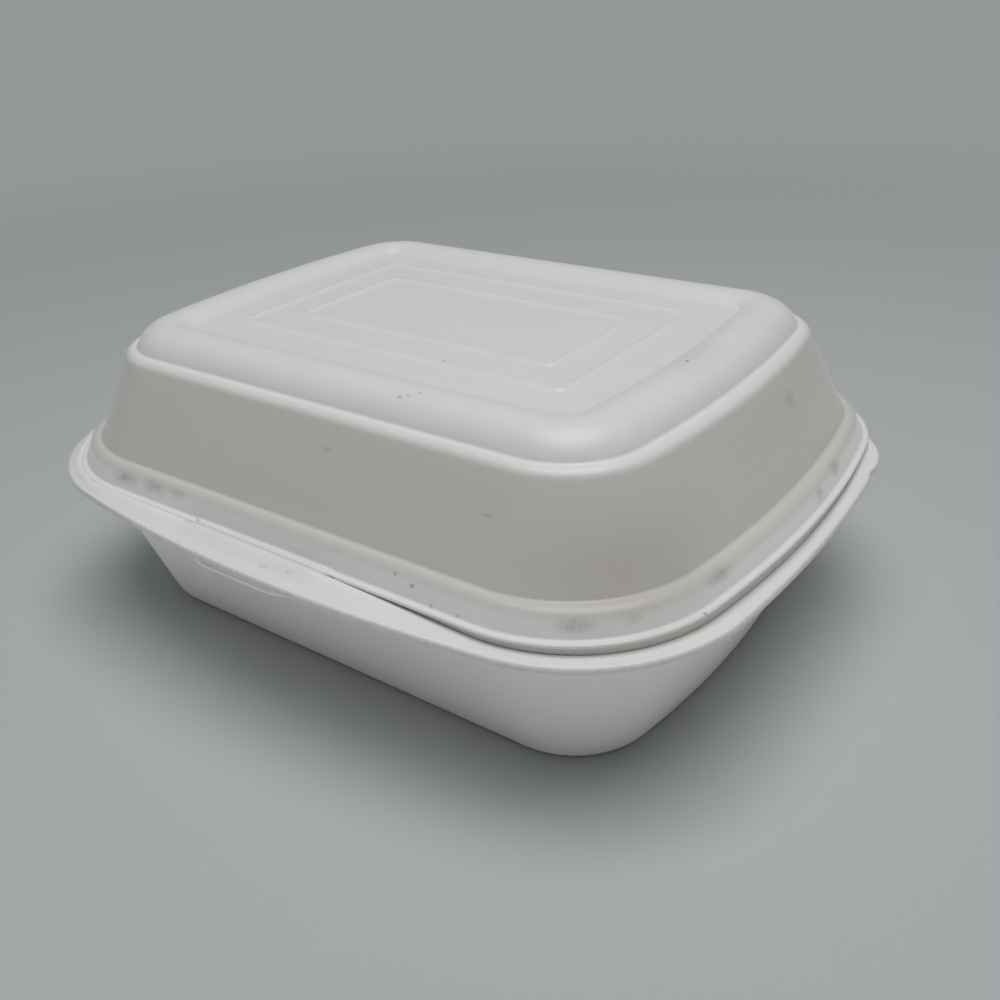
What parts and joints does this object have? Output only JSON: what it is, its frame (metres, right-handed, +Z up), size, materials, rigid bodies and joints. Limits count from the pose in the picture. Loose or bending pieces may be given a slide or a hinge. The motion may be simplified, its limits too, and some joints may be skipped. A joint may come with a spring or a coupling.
{
  "type": "foam clamshell container",
  "caption": "Hinged foam food container with a deep tapered tray, a domed lid with a sunk panel, and a tuck lock at the front.",
  "frame": {"origin": "centre of the container's bounding box seen from above, on the plane it stands on", "axes": "+X along the hinge, to the right when facing the opening side; +Y from the opening side to the hinge; +Z up"},
  "size_m": [0.1874, 0.1494, 0.0721],
  "materials": {
    "foam": "satin"
  },
  "bodies": {
    "tray": {"tray": "foam"},
    "lid": {"lid": "foam"}
  },
  "joints": [
    {"name": "lid_hinge", "type": "hinge", "parent": "tray", "child": "lid", "pos_m": [0, 0.0749, 0.0397], "axis": [-1, 0, 0], "range_deg": [0, 180]}
  ]
}
